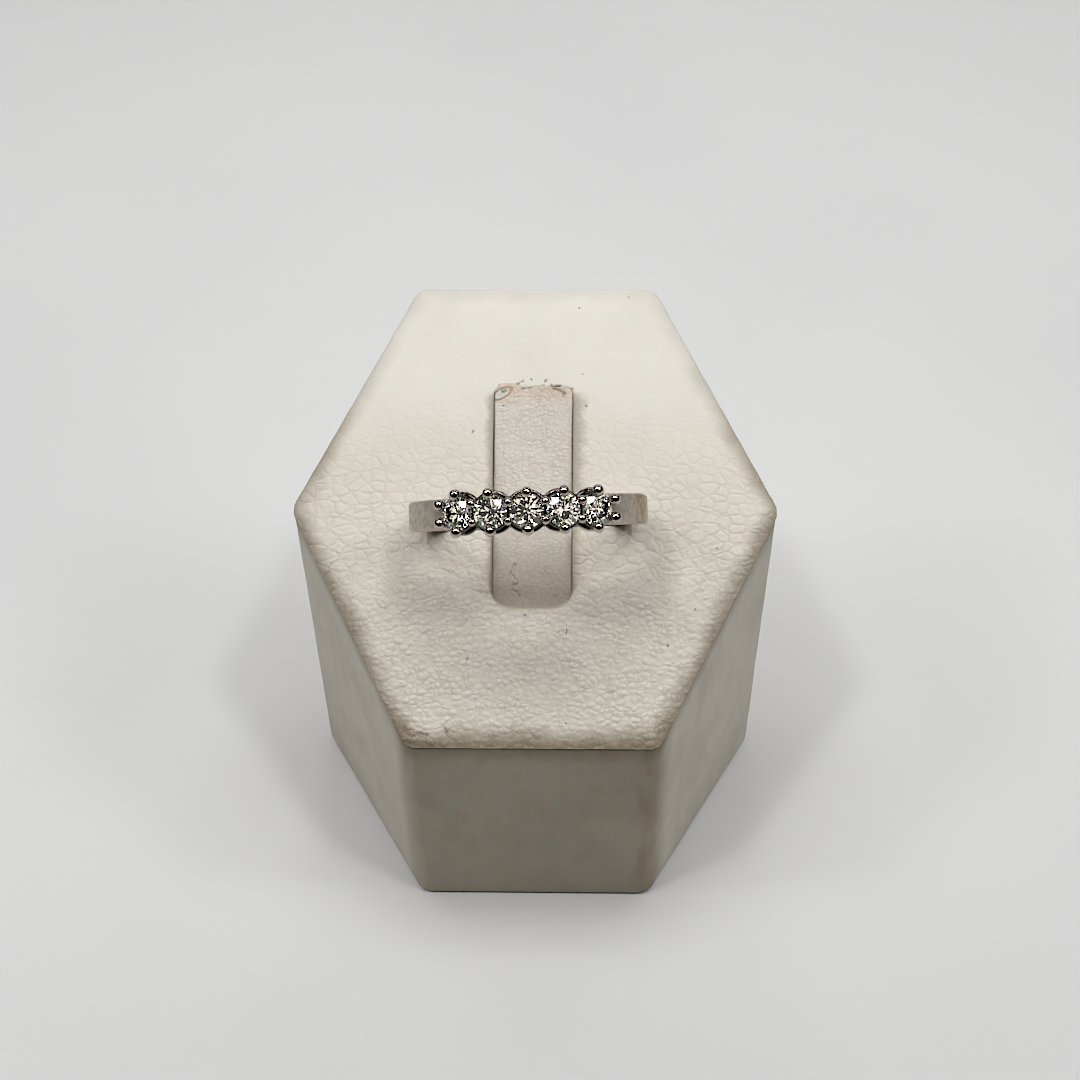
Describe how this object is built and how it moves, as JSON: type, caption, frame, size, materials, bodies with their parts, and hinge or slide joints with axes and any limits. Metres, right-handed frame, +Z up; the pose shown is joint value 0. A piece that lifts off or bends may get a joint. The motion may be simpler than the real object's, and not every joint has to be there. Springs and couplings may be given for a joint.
{
  "type": "diamond ring on hexagonal display stand",
  "caption": "Finger ring with a row of round claw-set stones, held upright by a hinged tongue in the sloped top of a leatherette-covered hexagonal display block.",
  "frame": {"origin": "under the middle of the display block, on the surface it stands on", "axes": "+Z up, +Y to the block's back, which is its taller side, +X to the right seen from the front"},
  "size_m": [0.041, 0.0358, 0.0448],
  "materials": {
    "white_gold": "worn satin white gold, bright inside the setting",
    "diamond": "clear polished facets with fire",
    "leatherette": "matt cream leatherette with a fine pebbled grain, a little soiled"
  },
  "bodies": {
    "root": {"ring_band": "white_gold", "stone_1": "diamond", "stone_2": "diamond", "stone_3": "diamond", "stone_4": "diamond", "stone_5": "diamond", "stand_block": "leatherette", "stand_tongue": "leatherette"}
  },
  "joints": []
}
